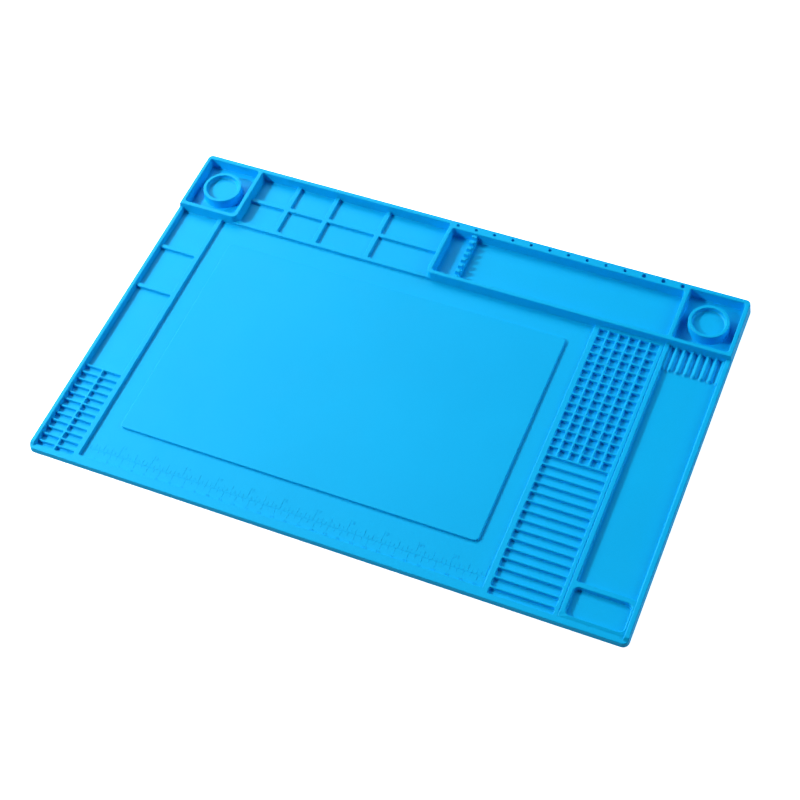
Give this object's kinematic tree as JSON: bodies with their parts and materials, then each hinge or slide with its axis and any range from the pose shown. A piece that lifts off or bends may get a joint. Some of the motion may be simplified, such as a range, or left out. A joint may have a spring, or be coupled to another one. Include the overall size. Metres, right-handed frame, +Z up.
{
  "type": "repair work mat",
  "caption": "Flat rectangular silicone work mat with a raised centre panel, walled parts trays, ring cups, slotted racks, a notched comb, a row of tool holes and an embossed ruler.",
  "frame": {"origin": "centre of the flat underside, at the height of the surface that the mat lies on", "axes": "+X along the long side towards the rack of cells, +Y from the front strip towards the box row, +Z up"},
  "size_m": [0.45, 0.302, 0.0102],
  "materials": {
    "silicone": "matte"
  },
  "bodies": {
    "root": {"base_sheet": "silicone", "work_panel": "silicone", "ruler_scale": "silicone", "front_strip": "silicone", "left_rim": "silicone", "left_inner_ridge": "silicone", "left_tray_front_divider": "silicone", "left_tray_rear_divider": "silicone", "left_rack_bars": "silicone", "left_rack_rib": "silicone", "left_box_left_wall": "silicone", "left_box_front_wall": "silicone", "left_box_right_wall": "silicone", "left_box_back_wall": "silicone", "left_ring_cup": "silicone", "back_wall": "silicone", "compartment_divider_1": "silicone", "compartment_divider_2": "silicone", "compartment_divider_3": "silicone", "compartment_middle_ridge": "silicone", "compartment_front_ridge": "silicone", "long_tray_left_wall": "silicone", "long_tray_front_wall": "silicone", "hole_bar": "silicone", "tray_box_wall": "silicone", "notched_comb": "silicone", "right_box_front_wall": "silicone", "right_box_right_wall": "silicone", "right_box_back_wall": "silicone", "right_ring_cup": "silicone", "rack_left_ridge": "silicone", "rack_back_bar": "silicone", "rack_right_ridge": "silicone", "cell_row_bars": "silicone", "cell_column_bars": "silicone", "slot_bars": "silicone", "right_tray_wall": "silicone", "right_rim": "silicone", "tray_bar": "silicone", "small_tray_frame": "silicone", "rib_comb": "silicone"}
  },
  "joints": []
}
